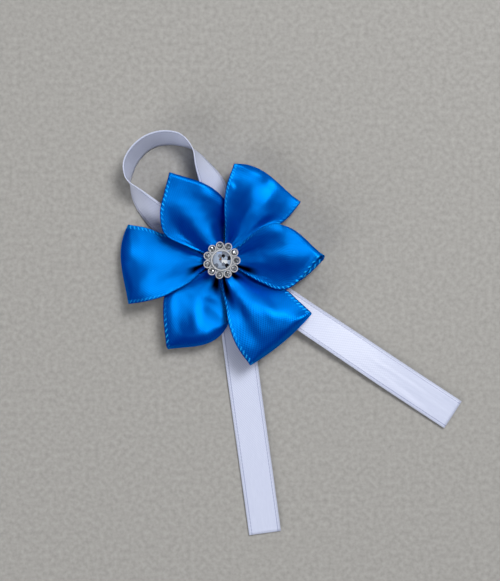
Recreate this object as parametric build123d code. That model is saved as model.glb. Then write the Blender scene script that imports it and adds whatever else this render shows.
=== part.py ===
# Lapel rosette: six folded ribbon petals, a jewelled button, one narrow ribbon with a hanging
# loop and two tails, and a pin on the back.
# Millimetres. The origin is the table under the middle of the flower, +Z points up at the
# viewer, +Y runs up the picture and +X to its right.
from build123d import *
import math
import os

# Ribbon and cloth
WALL = 1.0               # wall of every ribbon solid
ROLL = 1.3               # outside radius of the soft fold at the end of a petal
BACK_ARCH = 1.2          # the same for the back layer, which falls nearly straight
BACK_INSET = 0.07        # share of the half width by which the back layer lies inside
NARROW_WIDTH = 10.0      # width of the narrow ribbon

# Each petal is a wide ribbon folded end to end. One row for each section across it, from the
# gathered base (at 0) to the outer fold (at 1). Sides are named by the sense of turning seen
# from above: near side = further round clockwise, far side = further round counterclockwise.
# Radius and angle place the two edges. Tops are heights of the front layer on its outer face
# at the far edge, the middle and the near edge, lows are those of the back layer.
#  at, far_r, far_deg, near_r, near_deg, top_far, top_mid, top_near, low_far, low_mid, low_near
PETALS = {
    "petal_1": (
        (0.00, 2.2, 148.0, 2.2, 96.0, 7.6, 7.6, 7.4, 4.3, 4.3, 4.3),
        (0.12, 5.8, 158.0, 5.6, 86.0, 8.1, 7.7, 6.5, 5.8, 4.4, 4.2),
        (0.30, 12.1, 158.1, 7.4, 84.5, 9.6, 9.0, 6.2, 7.3, 5.1, 4.0),
        (0.48, 19.0, 155.6, 10.1, 83.0, 9.7, 10.8, 6.2, 7.4, 5.9, 3.9),
        (0.66, 23.4, 143.0, 12.4, 82.2, 9.9, 11.4, 6.2, 7.5, 6.8, 3.8),
        (0.84, 26.7, 130.9, 14.0, 81.2, 9.5, 11.2, 6.1, 7.1, 7.7, 3.6),
        (1.00, 30.9, 120.6, 15.3, 80.8, 7.8, 10.4, 6.1, 5.2, 7.8, 3.5),
    ),
    "petal_2": (
        (0.00, 2.2, 76.0, 2.2, 46.0, 7.6, 7.6, 7.4, 4.3, 4.3, 4.3),
        (0.12, 5.7, 81.0, 5.7, 42.5, 8.1, 7.7, 6.4, 5.8, 4.6, 4.1),
        (0.30, 10.8, 84.5, 10.5, 36.5, 9.2, 9.6, 6.0, 6.9, 5.2, 3.6),
        (0.48, 16.2, 87.3, 14.7, 35.7, 10.0, 11.2, 5.8, 7.6, 5.6, 3.4),
        (0.66, 21.7, 86.4, 19.2, 33.0, 9.8, 11.4, 5.9, 7.2, 5.4, 3.2),
        (0.84, 25.8, 84.5, 24.1, 33.4, 9.0, 10.4, 6.3, 6.4, 4.8, 3.3),
        (1.00, 29.5, 82.6, 30.1, 36.7, 7.5, 8.2, 6.0, 4.9, 5.6, 3.4),
    ),
    "petal_3": (
        (0.00, 2.2, 32.0, 2.2, -22.0, 7.6, 7.6, 7.6, 4.3, 4.3, 4.3),
        (0.12, 5.8, 38.0, 6.0, -27.0, 8.1, 7.7, 8.1, 5.8, 4.8, 5.8),
        (0.30, 11.3, 40.4, 9.9, -29.5, 9.5, 9.9, 9.6, 7.2, 5.8, 7.2),
        (0.48, 15.8, 39.2, 14.7, -28.8, 9.6, 11.4, 9.7, 7.2, 6.4, 7.3),
        (0.66, 18.9, 35.8, 19.8, -26.3, 9.5, 11.8, 9.4, 7.1, 6.7, 7.0),
        (0.84, 20.7, 32.4, 23.9, -16.4, 9.2, 11.4, 8.2, 6.7, 6.8, 5.8),
        (1.00, 21.7, 28.9, 30.5, 3.5, 8.8, 10.2, 6.6, 6.2, 7.6, 4.0),
    ),
    "petal_4": (
        (0.00, 2.2, 326.0, 2.2, 276.0, 7.4, 7.6, 7.6, 4.3, 4.3, 4.3),
        (0.12, 5.8, 328.5, 5.8, 270.0, 6.5, 7.7, 8.1, 4.2, 4.6, 5.7),
        (0.30, 10.3, 334.5, 9.7, 272.1, 6.2, 9.4, 8.9, 3.9, 5.0, 6.5),
        (0.48, 15.5, 334.8, 14.9, 275.2, 6.0, 11.0, 8.8, 3.6, 5.2, 6.3),
        (0.66, 21.6, 335.0, 20.8, 276.8, 6.2, 11.2, 8.4, 3.6, 5.2, 5.6),
        (0.84, 26.4, 331.9, 27.0, 280.5, 6.4, 10.0, 7.4, 3.7, 5.0, 4.6),
        (1.00, 31.8, 329.3, 33.1, 285.2, 6.4, 7.8, 5.8, 3.8, 5.2, 3.2),
    ),
    "petal_5": (
        (0.00, 2.2, 264.0, 2.2, 216.0, 7.4, 7.6, 7.4, 4.3, 4.3, 4.3),
        (0.12, 5.8, 266.5, 5.8, 211.5, 6.6, 7.4, 6.3, 4.2, 4.5, 4.1),
        (0.30, 9.4, 272.2, 12.0, 210.0, 6.0, 8.6, 5.6, 3.6, 4.2, 3.3),
        (0.48, 12.2, 274.3, 16.6, 210.0, 5.9, 9.9, 5.2, 3.3, 3.8, 2.9),
        (0.66, 14.7, 275.1, 20.6, 212.0, 5.8, 10.0, 5.0, 3.1, 3.4, 2.5),
        (0.84, 17.0, 275.4, 25.1, 224.9, 5.6, 9.2, 4.8, 2.9, 3.2, 2.2),
        (1.00, 19.2, 275.4, 31.9, 238.3, 5.4, 6.8, 4.2, 2.8, 4.2, 1.6),
    ),
    "petal_6": (
        (0.00, 2.2, 204.0, 2.2, 164.0, 7.6, 7.6, 7.4, 4.3, 4.3, 4.3),
        (0.12, 6.0, 207.0, 5.8, 163.5, 8.1, 7.7, 6.5, 5.9, 4.5, 4.2),
        (0.30, 12.1, 214.1, 11.2, 154.8, 8.9, 9.3, 6.3, 6.7, 4.8, 4.1),
        (0.48, 17.1, 212.8, 16.9, 153.6, 8.7, 10.6, 6.1, 6.4, 4.5, 3.8),
        (0.66, 21.5, 211.4, 20.9, 156.0, 8.1, 10.6, 5.9, 5.6, 3.9, 3.5),
        (0.84, 26.8, 208.0, 25.8, 156.9, 6.7, 9.4, 5.8, 4.1, 3.6, 3.2),
        (1.00, 31.6, 204.9, 30.9, 159.2, 4.8, 6.6, 5.0, 2.4, 4.0, 2.4),
    ),
}
# How squarely the front layer arches down to each edge. An edge that dips under the next
# petal falls nearly straight.
#  to_far, to_near
ARCH = {
    "petal_1": (2.0, 1.2), "petal_2": (2.0, 1.1), "petal_3": (2.0, 2.0),
    "petal_4": (1.1, 2.0), "petal_5": (1.2, 1.1), "petal_6": (2.0, 1.2),
}
# How far the outer fold bows out past the line between its corners, and how far that bow
# leans to the far side.
#  bow, lean
FOLD_BOW = {
    "petal_1": (2.6, -0.5), "petal_2": (2.3, 0.1), "petal_3": (0.6, 0.0),
    "petal_4": (1.0, 0.0), "petal_5": (2.9, 0.6), "petal_6": (2.5, -0.2),
}
# Folds pressed into the front layer. Across the petal, -1 is the near edge and 1 the far one.
#  petal, across_at_base, across_at_end, half_width, depth, starts_at, ends_at
FOLDS = (
    ("petal_1", 0.40, 0.60, 0.22, 1.2, 0.10, 0.85),
    ("petal_2", 0.55, 0.35, 0.24, 1.3, 0.10, 0.85),
    ("petal_2", 0.00, 0.00, 0.35, 0.9, 0.70, 1.20),
    ("petal_3", 0.45, 0.45, 0.25, 1.0, 0.10, 0.85),
    ("petal_3", -0.45, -0.45, 0.25, 1.0, 0.10, 0.85),
    ("petal_4", -0.50, -0.30, 0.22, 1.2, 0.10, 0.90),
    ("petal_5", 0.10, 0.30, 0.30, 1.2, 0.30, 0.95),
    ("petal_6", -0.55, -0.50, 0.22, 1.1, 0.10, 0.85),
)

# Narrow ribbon, a row for each section from the end of one tail, under the flower, round the
# hanging loop, under the flower again and out to the end of the other tail. Lean turns it
# about its middle line: 0 lies flat, 90 stands on edge, above 0 the left edge is the high one.
#  x, y, lean, lift
NARROW = (
    (13.3, -84.9, 0, 0.0),
    (10.2, -62.5, 0, 0.0),
    (7.3, -41.9, 0, 0.0),
    (4.4, -20.3, 0, 0.55),
    (2.7, -9.1, 0, 1.45),
    (1.5, -0.6, 0, 1.55),
    (0.6, 6.6, 1, 1.45),
    (-0.6, 14.4, 13, 0.60),
    (-1.9, 19.1, 26, 0.05),
    (-3.0, 23.7, 40, 0.0),
    (-5.8, 29.2, 62, 0.0),
    (-8.6, 34.2, 86, 0.0),
    (-12.9, 37.2, 105, 0.0),
    (-17.0, 37.9, 109, 0.0),
    (-21.3, 37.2, 109, 0.0),
    (-24.7, 35.2, 109, 0.0),
    (-27.0, 32.7, 109, 0.0),
    (-28.5, 30.0, 107, 0.0),
    (-29.0, 27.2, 101, 0.0),
    (-28.8, 24.4, 90, 0.0),
    (-25.8, 19.6, 62, 0.0),
    (-20.6, 14.1, 40, 0.0),
    (-16.4, 10.9, 26, 0.50),
    (-11.4, 7.5, 11, 1.90),
    (-6.1, 3.9, 2, 2.80),
    (0.0, -0.3, 0, 2.85),
    (6.4, -4.5, -3, 2.60),
    (12.3, -8.4, -9, 1.50),
    (18.3, -12.4, -16, 0.50),
    (27.3, -18.4, -18, 0.0),
    (38.3, -25.7, -12, 0.0),
    (52.3, -35.1, -6, 0.0),
    (71.9, -48.0, -1, 0.0),
)

# Button: a moulded setting with a ring of lobes, a large stone and a small one in each lobe
LOBES = 11
LOBE_FIRST = -1.0        # degrees, angle of the first lobe
LOBE_RING = 4.5          # radius of the circle the lobes stand on
LOBE_R = 1.22
CORE_R = 4.4
BUTTON_Z = 8.4           # underside of the setting
BUTTON_T = 1.5
CENTRE_RIM_R = 3.3
CENTRE_R = 2.85
CENTRE_RIM_H = 0.7
SMALL_R = 0.93
STONE_GAP = 0.04
POCKET = 0.5

# Pin on the back: one plain closed safety pin
PIN_LENGTH = 25.0
PIN_SPACING = 4.0
PIN_WIRE = 0.9
PIN_HEIGHT = 1.8
PIN_TURN = 30.0          # degrees


def curve_through(keys, values, at):
    """Smooth value at a place between the keys, passing through every given value."""
    last = len(keys) - 1
    at = min(max(at, keys[0]), keys[last])
    i = next(k for k in range(last) if at <= keys[k + 1])
    slopes = []
    for k in (i, i + 1):
        lo, hi = max(k - 1, 0), min(k + 1, last)
        slopes.append((values[hi] - values[lo]) / (keys[hi] - keys[lo]))
    span = keys[i + 1] - keys[i]
    t = (at - keys[i]) / span
    return ((1 + 2 * t) * (1 - t) ** 2 * values[i] + t * (1 - t) ** 2 * span * slopes[0]
            + t * t * (3 - 2 * t) * values[i + 1] - t * t * (1 - t) * span * slopes[1])


def ease(low, high, at):
    """0 before low, 1 after high, and smooth between them."""
    t = min(max((at - low) / (high - low), 0.0), 1.0)
    return t * t * (3 - 2 * t)


def arched(name, layer, far, mid, near, across):
    """Height on the arch across a petal."""
    side, power = (far, ARCH[name][0]) if across > 0 else (near, ARCH[name][1])
    power = power if layer == "top" else BACK_ARCH
    return mid + (side - mid) * (across ** 2 + 0.02) ** (power / 2) / 1.02 ** (power / 2)


def petal_sections(name):
    """The petal's table as columns, its edges turned from radius and angle to x and y."""
    rows = PETALS[name]
    polar = lambda r, deg: (r * math.cos(math.radians(deg)), r * math.sin(math.radians(deg)))
    far = [polar(row[1], row[2]) for row in rows]
    near = [polar(row[3], row[4]) for row in rows]
    return {
        "at": [row[0] for row in rows],
        "far_x": [p[0] for p in far], "far_y": [p[1] for p in far],
        "near_x": [p[0] for p in near], "near_y": [p[1] for p in near],
        "top": [row[5:8] for row in rows], "low": [row[8:11] for row in rows],
    }


def fold_out(sections):
    """Level direction in which the outer fold faces."""
    dx = sections["far_x"][-1] - sections["near_x"][-1]
    dy = sections["far_y"][-1] - sections["near_y"][-1]
    size = math.hypot(dx, dy)
    return dy / size, -dx / size


def petal_point(name, sections, at, across, layer):
    """A point of the front layer (top) or of the back layer (low)."""
    s = sections
    edge = [curve_through(s["at"], s[key], at) for key in ("far_x", "far_y", "near_x", "near_y")]
    width = across
    if layer == "low":
        width *= 1 - BACK_INSET * ease(0.0, 0.3, 1 - at)
    bow, lean = FOLD_BOW[name]
    out = fold_out(s)
    push = bow * (1 - width ** 2) * (1 + lean * width) * at ** 4 - ROLL * at ** 3
    x = edge[2] + (edge[0] - edge[2]) * (1 + width) / 2 + out[0] * push
    y = edge[3] + (edge[1] - edge[3]) * (1 + width) / 2 + out[1] * push
    heights = [curve_through(s["at"], [row[i] for row in s[layer]], at) for i in range(3)]
    z = arched(name, layer, *heights, across)
    if layer == "top":
        for owner, base, end, half, depth, start, stop in FOLDS:
            if owner == name:
                middle = base + (end - base) * at
                reach = ease(start, start + 0.15, at) * (1 - ease(stop - 0.35, stop, at))
                z -= depth * reach * math.exp(-((across - middle) / half) ** 2)
    return x, y, z


def petal_grid(name, along, rolled, across):
    """Rows of points over the front layer, round the fold and back under it."""
    sections = petal_sections(name)
    out = fold_out(sections)
    front = [[petal_point(name, sections, a, w, "top") for w in across] for a in along]
    back = [[petal_point(name, sections, a, w, "low") for w in across] for a in along]
    fold = []
    for turn in rolled:
        row = []
        for (x, y, z), (bx, by, bz) in zip(front[-1], back[-1]):
            swing = math.sin(math.radians(turn)) * ROLL
            drop = (1 - math.cos(math.radians(turn))) / 2
            row.append((x + (bx - x) * drop + out[0] * swing,
                        y + (by - y) * drop + out[1] * swing,
                        z + (bz - z) * drop))
        fold.append(row)
    return front + fold + back[::-1]


def narrow_grid(stations):
    """Rows of three points across the narrow ribbon: left edge, middle and right edge."""
    keys = [0.0]
    for (ax, ay, _, _), (bx, by, _, _) in zip(NARROW, NARROW[1:]):
        keys.append(keys[-1] + math.hypot(bx - ax, by - ay))
    columns = list(zip(*NARROW))
    rows = []
    for k in range(stations):
        at = keys[-1] * k / (stations - 1)
        x, y, lean, lift = (curve_through(keys, column, at) for column in columns)
        ahead = [curve_through(keys, column, at + 0.5) for column in columns[:2]]
        behind = [curve_through(keys, column, at - 0.5) for column in columns[:2]]
        dx, dy = ahead[0] - behind[0], ahead[1] - behind[1]
        size = math.hypot(dx, dy)
        turn = math.radians(lean)
        level, rise = math.cos(turn), math.sin(turn)
        side = (-dy / size * level, dx / size * level, rise)
        half = NARROW_WIDTH / 2
        z = half * abs(rise) + WALL / 2 * abs(level) + lift
        rows.append([(x + side[0] * w, y + side[1] * w, z + side[2] * w) for w in (half, 0, -half)])
    return rows


def row_normal(rows, i, j):
    """Normal of the grid of points at one of them."""
    last_i, last_j = len(rows) - 1, len(rows[0]) - 1
    a = Vector(*rows[min(i + 1, last_i)][j]) - Vector(*rows[max(i - 1, 0)][j])
    b = Vector(*rows[i][min(j + 1, last_j)]) - Vector(*rows[i][max(j - 1, 0)])
    return a.cross(b).normalized()


def petal(name):
    """One petal, lofted along the ribbon. The wall goes inwards from the outer face."""
    along = [0.0, 0.12, 0.26, 0.42, 0.58, 0.74, 0.88, 1.0]
    rolled = (45, 90, 135)
    across = [k / 4 - 1 for k in range(9)]
    facing = Vector(*fold_out(petal_sections(name)), 0)
    turns = [0] * len(along) + list(rolled) + [180] * len(along)
    wires = []
    for turn, row in zip(turns, petal_grid(name, along, rolled, across)):
        swing, drop = math.sin(math.radians(turn)), math.cos(math.radians(turn))
        inward = (facing * -swing + Vector(0, 0, -drop)) * WALL
        outer = [Vector(*p) for p in row]
        wires.append(Wire.make_polygon(outer + [p + inward for p in outer[::-1]]))
    return Solid.make_loft(wires)


def narrow_ribbon():
    """The whole narrow ribbon, lofted through oblong sections."""
    rows = narrow_grid(40)
    wires = []
    for i, row in enumerate(rows):
        half_wall = row_normal(rows, i, 1) * (WALL / 2)
        left, right = Vector(*row[0]), Vector(*row[2])
        wires.append(Wire.make_polygon(
            [left + half_wall, right + half_wall, right - half_wall, left - half_wall]))
    return Solid.make_loft(wires)


def ring_of_points(radius, count, turn=0.0):
    return [(radius * math.cos(math.radians(turn + 360 * k / count)),
             radius * math.sin(math.radians(turn + 360 * k / count))) for k in range(count)]


def cut_stone(radius, sides, floor, levels):
    """A flat-backed stone. Each level is a share of the radius and a height above the floor."""
    wires = []
    for share, height in levels:
        corners = ring_of_points(radius * share, sides)
        wires.append(Wire.make_polygon([Vector(x, y, floor + height) for x, y in corners]))
    return Solid.make_loft(wires, ruled=True)


def lobe_centres():
    return ring_of_points(LOBE_RING, LOBES, LOBE_FIRST)


def jewel_setting():
    """Moulded button with a rim round the large stone and a pocket in each lobe."""
    top = BUTTON_Z + BUTTON_T
    body = Pos(0, 0, BUTTON_Z + BUTTON_T / 2) * Cylinder(CORE_R, BUTTON_T)
    for x, y in lobe_centres():
        body += Pos(x, y, BUTTON_Z + BUTTON_T / 2) * Cylinder(LOBE_R, BUTTON_T)
    body += Pos(0, 0, top + CENTRE_RIM_H / 2) * Cylinder(CENTRE_RIM_R, CENTRE_RIM_H)
    body -= Pos(0, 0, top + CENTRE_RIM_H / 2) * Cylinder(CENTRE_R, CENTRE_RIM_H)
    for x, y in lobe_centres():
        body -= Pos(x, y, top - POCKET / 2) * Cylinder(SMALL_R, POCKET)
    return body


def back_pin():
    """Closed safety pin in one piece: two wires, a coil at one end and a cap at the other."""
    z = PIN_WIRE / 2 + 0.30
    half = PIN_LENGTH / 2
    pin = None
    for side in (-1, 1):
        wire = Rot(0, 90, 0) * Cylinder(PIN_WIRE / 2, PIN_LENGTH - 4)
        wire = Pos(0, side * PIN_SPACING / 2, z) * wire
        pin = wire if pin is None else pin + wire
    pin += Pos(-half + 2, 0, PIN_HEIGHT / 2) * Cylinder(PIN_SPACING / 2 + PIN_WIRE / 2, PIN_HEIGHT)
    pin -= Pos(-half + 2, 0, PIN_HEIGHT / 2) * Cylinder(PIN_SPACING / 2 - PIN_WIRE / 2, PIN_HEIGHT)
    cap = Box(4.5, PIN_SPACING + 2, PIN_HEIGHT)
    cap = fillet(cap.edges().filter_by(Axis.Z), 1.6)
    pin += Pos(half - 2.2, 0, PIN_HEIGHT / 2) * cap
    return Rot(0, 0, PIN_TURN) * pin


def save(shape, name):
    solids = shape.solids()
    assert len(solids) == 1, f"{name} is {len(solids)} solids"
    export_step(solids[0], f"parts/{name}.step")
    box = solids[0].bounding_box()
    print(f"{name}: {solids[0].volume:.1f} mm3, z {box.min.Z:.2f} to {box.max.Z:.2f}")


os.makedirs("parts", exist_ok=True)
for petal_name in PETALS:
    save(petal(petal_name), petal_name)
save(narrow_ribbon(), "narrow_ribbon")
save(jewel_setting(), "jewel_setting")
top_face = BUTTON_Z + BUTTON_T
save(cut_stone(CENTRE_R - STONE_GAP, 12, top_face + STONE_GAP,
               ((1.0, 0.0), (1.0, 0.35), (0.80, 1.0), (0.52, 1.35))), "centre_stone")
for number, (cx, cy) in enumerate(lobe_centres(), 1):
    stone = cut_stone(SMALL_R - STONE_GAP, 8, top_face - POCKET + STONE_GAP,
                      ((1.0, 0.0), (1.0, 0.42), (0.55, 0.85)))
    save(Pos(cx, cy, 0) * stone, f"small_stone_{number:02d}")
save(back_pin(), "back_pin")
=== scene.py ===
# %% [markdown]
# A lapel rosette: six petals of folded blue satin ribbon around a clear button, over a narrow
# white ribbon that makes a hanging loop and two tails. The solids come from the CAD frame. This
# script dresses them: thin ribbon with its weave and selvedge takes the place of the thick
# walls, and the button and pin keep their solids and get their finishes.

# %% Load the frame
import math

import bmesh
import bpy
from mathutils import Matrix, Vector


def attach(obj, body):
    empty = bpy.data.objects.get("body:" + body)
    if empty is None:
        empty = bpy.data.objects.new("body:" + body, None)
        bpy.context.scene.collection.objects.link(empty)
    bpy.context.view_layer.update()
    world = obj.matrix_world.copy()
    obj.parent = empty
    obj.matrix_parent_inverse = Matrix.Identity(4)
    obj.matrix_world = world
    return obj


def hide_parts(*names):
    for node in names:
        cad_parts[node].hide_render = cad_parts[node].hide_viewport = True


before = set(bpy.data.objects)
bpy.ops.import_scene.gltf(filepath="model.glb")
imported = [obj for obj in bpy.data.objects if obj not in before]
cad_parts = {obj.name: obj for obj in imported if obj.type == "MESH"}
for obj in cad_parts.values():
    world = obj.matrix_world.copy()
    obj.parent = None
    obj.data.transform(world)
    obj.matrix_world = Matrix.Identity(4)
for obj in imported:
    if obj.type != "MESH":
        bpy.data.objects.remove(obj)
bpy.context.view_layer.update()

MM = 0.001

# %% [markdown]
# Satin ribbon is about a quarter of a millimetre thick. In simulation the solids' thick walls
# stand in for it, and here the real cloth takes their place. It could be draped by a cloth
# simulation, but then nobody could say where a fold ends up. So each ribbon is laid along small
# tables of measures, in millimetres, and smooth curves run through them.

# %% Widths and thickness, in millimetres
WALL = 1.0               # the solids' walls, which set how high the white ribbon lies
CLOTH = 0.3
WIDE_WIDTH = 25.0
NARROW_WIDTH = 10.0
print("ribbon widths mm", WIDE_WIDTH, NARROW_WIDTH, "cloth", CLOTH)

# %% [markdown]
# A petal is one strip of wide ribbon, laid front over back with an open fold at its outer end.
# Its plan is a fan: two edges that run out from the button, and the fold between them. It could
# be drawn as a spline. A row for each section is easier to check, and says how the cloth runs.

# %% Plan of the petals
# Each petal is a wide ribbon folded end to end. One row for each section across it, from the
# gathered base (at 0) to the outer fold (at 1). Sides are named by the sense of turning seen
# from above: near side = further round clockwise, far side = further round counterclockwise.
# Radius and angle place the two edges. Lows are heights of the back layer.
#  at, far_r, far_deg, near_r, near_deg, low_far, low_mid, low_near
PETALS = {
    "petal_1": (
        (0.00, 2.2, 148.0, 2.2, 96.0, 4.3, 4.3, 4.3),
        (0.12, 5.8, 158.0, 5.6, 86.0, 5.8, 4.4, 4.2),
        (0.30, 12.1, 158.1, 7.4, 84.5, 7.3, 5.1, 4.0),
        (0.48, 19.0, 155.6, 10.1, 83.0, 7.4, 5.9, 3.9),
        (0.66, 23.4, 143.0, 12.4, 82.2, 7.5, 6.8, 3.8),
        (0.84, 26.7, 130.9, 14.0, 81.2, 7.1, 7.7, 3.6),
        (1.00, 30.9, 120.6, 15.3, 80.8, 5.2, 7.8, 3.5),
    ),
    "petal_2": (
        (0.00, 2.2, 76.0, 2.2, 46.0, 4.3, 4.3, 4.3),
        (0.12, 5.7, 81.0, 5.7, 42.5, 5.8, 4.6, 4.1),
        (0.30, 10.8, 84.5, 10.5, 36.5, 6.9, 5.2, 3.6),
        (0.48, 16.2, 87.3, 14.7, 35.7, 7.6, 5.6, 3.4),
        (0.66, 21.7, 86.4, 19.2, 33.0, 7.2, 5.4, 3.2),
        (0.84, 25.8, 84.5, 24.1, 33.4, 6.4, 4.8, 3.3),
        (1.00, 29.5, 82.6, 30.1, 36.7, 4.9, 5.6, 3.4),
    ),
    "petal_3": (
        (0.00, 2.2, 32.0, 2.2, -22.0, 4.3, 4.3, 4.3),
        (0.12, 5.8, 38.0, 6.0, -27.0, 5.8, 4.8, 5.8),
        (0.30, 11.3, 40.4, 9.9, -29.5, 7.2, 5.8, 7.2),
        (0.48, 15.8, 39.2, 14.7, -28.8, 7.2, 6.4, 7.3),
        (0.66, 18.9, 35.8, 19.8, -26.3, 7.1, 6.7, 7.0),
        (0.84, 20.7, 32.4, 23.9, -16.4, 6.7, 6.8, 5.8),
        (1.00, 21.3, 29.4, 30.5, 3.5, 6.2, 7.6, 4.0),
    ),
    "petal_4": (
        (0.00, 2.2, 326.0, 2.2, 276.0, 4.3, 4.3, 4.3),
        (0.12, 5.8, 328.5, 5.8, 270.0, 4.2, 4.6, 5.7),
        (0.30, 10.3, 334.5, 9.7, 272.1, 3.9, 5.0, 6.5),
        (0.48, 15.5, 334.8, 14.9, 275.2, 3.6, 5.2, 6.3),
        (0.66, 21.6, 335.0, 20.8, 276.8, 3.6, 5.2, 5.6),
        (0.84, 26.4, 331.9, 27.0, 280.5, 3.7, 5.0, 4.6),
        (1.00, 31.8, 329.3, 33.1, 285.2, 3.8, 5.2, 3.2),
    ),
    "petal_5": (
        (0.00, 2.2, 264.0, 2.2, 216.0, 4.3, 4.3, 4.3),
        (0.12, 5.8, 266.5, 5.8, 211.5, 4.2, 4.5, 4.1),
        (0.30, 9.4, 272.2, 12.0, 210.0, 3.6, 4.2, 3.3),
        (0.48, 12.2, 274.3, 16.6, 210.0, 3.3, 3.8, 2.9),
        (0.66, 14.7, 275.1, 20.6, 212.0, 3.1, 3.4, 2.5),
        (0.84, 17.0, 275.4, 25.1, 224.9, 2.9, 3.2, 2.2),
        (1.00, 19.2, 275.4, 31.9, 238.3, 2.8, 4.2, 1.6),
    ),
    "petal_6": (
        (0.00, 2.2, 204.0, 2.2, 164.0, 4.3, 4.3, 4.3),
        (0.12, 6.0, 207.0, 5.8, 163.5, 5.9, 4.5, 4.2),
        (0.30, 12.1, 214.1, 11.2, 154.8, 6.7, 4.8, 4.1),
        (0.48, 17.1, 212.8, 16.9, 153.6, 6.4, 4.5, 3.8),
        (0.66, 21.5, 211.4, 20.9, 156.0, 5.6, 3.9, 3.5),
        (0.84, 26.8, 208.0, 25.8, 156.9, 4.1, 3.6, 3.2),
        (1.00, 31.6, 204.9, 30.9, 159.2, 2.4, 4.0, 2.4),
    ),
}
print("petals", len(PETALS), "rows each", {len(rows) for rows in PETALS.values()})

# %% [markdown]
# What makes satin satin is its swells and hollows. Each petal's front has a coarse table of
# heights, tuned until the highlights and dark valleys of the render lay where the photo has them.
# Sculpting could do it too, but then no height could be read or put right later.

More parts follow.
